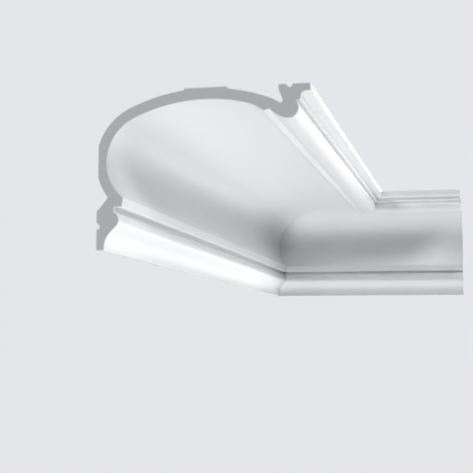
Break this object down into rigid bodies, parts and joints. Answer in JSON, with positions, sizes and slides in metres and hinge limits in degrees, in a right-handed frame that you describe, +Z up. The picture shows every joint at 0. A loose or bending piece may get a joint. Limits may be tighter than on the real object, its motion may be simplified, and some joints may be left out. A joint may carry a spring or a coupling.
{
  "type": "cornice moulding corner section",
  "caption": "Large hollow-backed cove cornice, two lengths mitred into an inside corner: ogee foot, quirk and bead, deep cove, roll, ledge and scotia under a flat nose.",
  "frame": {"origin": "centre of the bounding box's base: level with the underside of the lip, midway along both arms of the corner", "axes": "+Z up, from the lip to the ceiling; +Y along the long length, from its square end towards the far wall; +X along the far wall, from the mitre towards the return's square end. The long length's wall is the plane x = -0.235 m, the far wall is y = +0.700 m and the ceiling is z = +0.222 m"},
  "size_m": [0.47, 1.4, 0.222],
  "materials": {
    "primed_moulding": "satin white factory primer on moulded rigid polyurethane; sawn ends show the bare grey foam"
  },
  "bodies": {
    "root": {"long_length": "primed_moulding", "return_length": "primed_moulding"}
  },
  "joints": []
}
